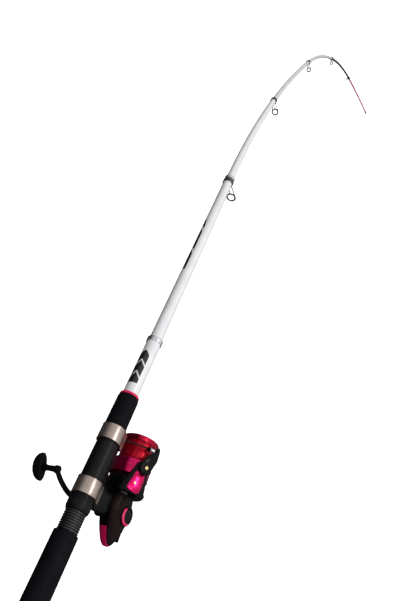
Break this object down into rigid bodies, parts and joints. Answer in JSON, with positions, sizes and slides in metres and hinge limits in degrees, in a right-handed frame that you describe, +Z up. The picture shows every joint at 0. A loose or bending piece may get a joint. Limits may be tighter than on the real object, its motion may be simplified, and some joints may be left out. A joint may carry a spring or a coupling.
{
  "type": "telescopic spinning rod and reel",
  "caption": "Telescopic fishing rod with line guides, a bent upper part and a fixed-spool spinning reel with a folding bail and a left-hand crank.",
  "frame": {"origin": "on the handle's axis in the middle of the reel seat, where the hand holds the rod", "axes": "+X along the handle towards the tip, +Z up, away from the reel, +Y towards the crank side"},
  "size_m": [2.1155, 0.1311, 0.6325],
  "materials": {
    "white_lacquer": "glossy white lacquer",
    "grey_lacquer": "glossy charcoal lacquer",
    "pink_lacquer": "hot pink lacquer",
    "foam": "matte black foam",
    "rubber": "matte black rubber",
    "black_plastic": "black plastic",
    "magenta_metal": "anodised magenta",
    "steel_band": "brushed warm steel",
    "steel": "bright steel",
    "black_wire": "black-plated steel wire",
    "ceramic": "polished black ceramic",
    "brass": "brass",
    "line": "red nylon line",
    "felt": "felt"
  },
  "bodies": {
    "rod_handle_and_reel": {"butt_blank": "white_lacquer", "rear_grip": "foam", "butt_cap": "rubber", "reel_seat": "black_plastic", "front_hood": "steel_band", "fore_grip": "foam", "trim_ring": "pink_lacquer", "butt_collar": "steel", "body_housing": "black_plastic", "side_cover": "black_plastic", "rear_cover": "magenta_metal", "left_bearing": "steel", "right_bearing": "steel", "pinion_bearing": "steel", "roller_clutch": "steel"},
    "rear_hood": {"rear_hood": "steel_band"},
    "lock_nut": {"lock_nut": "black_plastic"},
    "section_2": {"blank_2": "white_lacquer", "collar_2": "steel", "guide_1_frame": "black_wire", "guide_1_ring": "ceramic"},
    "section_3": {"blank_3": "white_lacquer", "guide_2_frame": "black_wire", "guide_2_ring": "ceramic"},
    "section_4": {"blank_4": "white_lacquer", "guide_3_frame": "black_wire", "guide_3_ring": "ceramic"},
    "section_5": {"blank_5": "white_lacquer", "guide_4_frame": "black_wire", "guide_4_ring": "ceramic"},
    "section_6": {"blank_6": "grey_lacquer", "guide_5_frame": "black_wire"},
    "tip_section": {"tip_blank": "pink_lacquer", "tip_top": "black_wire"},
    "crank": {"crank_shaft": "steel", "crank_arm": "black_plastic", "grip_pin": "steel", "drive_gear": "brass", "shaft_cap": "black_plastic"},
    "crank_grip": {"crank_grip": "rubber"},
    "rotor": {"rotor": "black_plastic", "rotor_nut": "steel", "pinion_gear": "brass", "right_arm_cover": "magenta_metal", "left_arm_cover": "magenta_metal"},
    "bail": {"bail_arm": "black_plastic", "bail_lever": "black_plastic", "bail_wire": "black_wire", "right_bail_screw": "steel", "left_bail_screw": "steel"},
    "line_roller": {"line_roller": "steel"},
    "oscillation_gear": {"oscillation_gear": "brass"},
    "main_shaft": {"main_shaft": "steel", "oscillation_slider": "steel", "drag_plate": "steel"},
    "spool": {"spool": "magenta_metal", "wound_line": "line", "drag_felt": "felt"},
    "drag_knob": {"drag_knob": "black_plastic"},
    "reverse_lever": {"reverse_lever": "black_plastic"}
  },
  "joints": [
    {"name": "section_2_slide", "type": "slide", "parent": "rod_handle_and_reel", "child": "section_2", "axis": [-1, 0, 0], "range_m": [0, 0.345]},
    {"name": "flex_3", "type": "hinge", "parent": "section_2", "child": "section_3", "pos_m": [0.541, 0, 0], "axis": [0, -1, 0], "range_deg": [0, 4.45], "stiffness_Nm_per_rad": 12},
    {"name": "flex_4", "type": "hinge", "parent": "section_3", "child": "section_4", "pos_m": [0.8637, 0, -0.02511], "axis": [0, -1, 0], "range_deg": [0, 7.55]},
    {"name": "flex_5", "type": "hinge", "parent": "section_4", "child": "section_5", "pos_m": [1.19122, 0, -0.09473], "axis": [0, -1, 0], "range_deg": [0, 11.1]},
    {"name": "flex_6", "type": "hinge", "parent": "section_5", "child": "section_6", "pos_m": [1.45252, 0, -0.20618], "axis": [0, -1, 0], "range_deg": [0, 16.4]},
    {"name": "flex_tip", "type": "hinge", "parent": "section_6", "child": "tip_section", "pos_m": [1.64627, 0, -0.3659], "axis": [0, -1, 0], "range_deg": [0, 10.7]},
    {"name": "rear_hood_slide", "type": "slide", "parent": "rod_handle_and_reel", "child": "rear_hood", "axis": [-1, 0, 0], "range_m": [0, 0.015]},
    {"name": "lock_nut_turn", "type": "hinge", "parent": "rear_hood", "child": "lock_nut", "pos_m": [-0.0523, 0, 0], "axis": [1, 0, 0], "range_deg": [0, 982]},
    {"name": "crank_turn", "type": "hinge", "parent": "rod_handle_and_reel", "child": "crank", "pos_m": [-0.03069, 0, -0.07185], "axis": [0, 1, 0], "continuous": true},
    {"name": "crank_grip_turn", "type": "hinge", "parent": "crank", "child": "crank_grip", "pos_m": [-0.01434, 0.078, -0.00997], "axis": [0, 1, 0], "continuous": true},
    {"name": "rotor_turn", "type": "hinge", "parent": "rod_handle_and_reel", "child": "rotor", "pos_m": [0, 0, -0.064], "axis": [0.999, 0, 0.0436], "continuous": true},
    {"name": "bail_turn", "type": "hinge", "parent": "rotor", "child": "bail", "pos_m": [0.02048, 0, -0.06311], "axis": [0.0198, 0.891, -0.4536], "range_deg": [0, 105]},
    {"name": "line_roller_turn", "type": "hinge", "parent": "bail", "child": "line_roller", "pos_m": [0.04504, -0.02546, -0.05242], "axis": [-0.0377, 0.5024, 0.8638], "continuous": true},
    {"name": "oscillation_gear_turn", "type": "hinge", "parent": "rod_handle_and_reel", "child": "oscillation_gear", "pos_m": [-0.04595, 0, -0.07301], "axis": [0, 1, 0], "continuous": true},
    {"name": "spool_stroke", "type": "slide", "parent": "rod_handle_and_reel", "child": "main_shaft", "axis": [0.999, 0, 0.0436], "range_m": [-0.01, 0]},
    {"name": "spool_drag_turn", "type": "hinge", "parent": "main_shaft", "child": "spool", "pos_m": [0.04496, 0, -0.06204], "axis": [0.999, 0, 0.0436], "continuous": true},
    {"name": "drag_knob_turn", "type": "hinge", "parent": "main_shaft", "child": "drag_knob", "pos_m": [0.05795, 0, -0.06147], "axis": [0.999, 0, 0.0436], "range_deg": [0, 720]},
    {"name": "reverse_lever_turn", "type": "hinge", "parent": "rod_handle_and_reel", "child": "reverse_lever", "pos_m": [-0.04293, 0, -0.0894], "axis": [-0.0436, 0, 0.999], "range_deg": [0, 35]}
  ],
  "couplings": [
    {"joint": "rotor_turn", "follows": "crank_turn", "ratio": 5.1429},
    {"joint": "oscillation_gear_turn", "follows": "crank_turn", "ratio": -1.2308},
    {"joint": "lock_nut_turn", "follows": "rear_hood_slide", "rad_per_m": 1142.4},
    {"joint": "flex_4", "follows": "flex_3", "ratio": 1.6966},
    {"joint": "flex_5", "follows": "flex_3", "ratio": 2.4943},
    {"joint": "flex_6", "follows": "flex_3", "ratio": 3.6853},
    {"joint": "flex_tip", "follows": "flex_3", "ratio": 2.4044}
  ]
}
